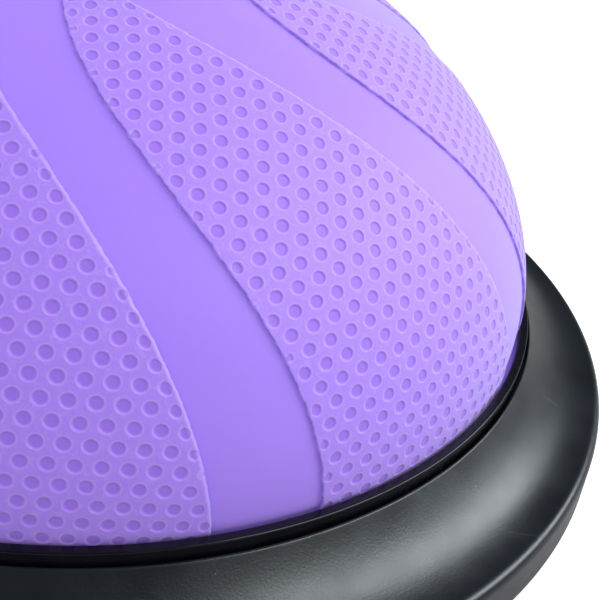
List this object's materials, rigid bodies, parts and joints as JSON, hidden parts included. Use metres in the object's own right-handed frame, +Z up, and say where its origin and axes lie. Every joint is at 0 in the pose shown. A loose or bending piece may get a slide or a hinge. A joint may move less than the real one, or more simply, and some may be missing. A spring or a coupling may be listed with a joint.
{
  "type": "balance dome trainer",
  "caption": "Half-ball balance trainer: an air-filled rubber dome with raised dimpled petals, clamped by a retaining ring in a round black base with rubber feet.",
  "frame": {"origin": "on the floor plane under the centre of the round base", "axes": "+Z up along the dome's axis through its crown; +X through the middle of one hand recess and of one petal's foot; +Y completes a right-handed frame"},
  "size_m": [0.6006, 0.6006, 0.25],
  "materials": {
    "dome_rubber": "light purple moulded rubber, satin, soft sheen, raised petals with round dimples",
    "ring_plastic": "near-black semi-gloss moulded plastic",
    "base_plastic": "black moulded plastic, satin, fine grain",
    "deck_plastic": "dark grey moulded plastic, matt",
    "valve_rubber": "black soft rubber, matt",
    "plug_plastic": "off-white soft plastic, semi-gloss",
    "foot_rubber": "dark grey rubber, matt, worn tread",
    "screw_steel": "zinc-plated steel"
  },
  "bodies": {
    "trainer": {"dome_shell": "dome_rubber", "bladder_floor": "dome_rubber", "valve_bush": "valve_rubber", "retaining_ring": "ring_plastic", "top_shell": "base_plastic", "deck_plate": "deck_plastic", "rib_frame": "deck_plastic", "base_plate": "base_plastic", "well_cup": "base_plastic", "grip_cup_right": "base_plastic", "grip_cup_left": "base_plastic", "ring_screws": "screw_steel", "base_screws": "screw_steel", "foot_1": "foot_rubber", "foot_2": "foot_rubber", "foot_3": "foot_rubber", "foot_4": "foot_rubber", "foot_5": "foot_rubber", "foot_6": "foot_rubber", "foot_7": "foot_rubber", "foot_8": "foot_rubber"},
    "plug": {"valve_plug": "plug_plastic"}
  },
  "joints": [
    {"name": "plug_pull", "type": "slide", "parent": "trainer", "child": "plug", "axis": [0, 0, -1], "range_m": [0, 0.014]}
  ]
}
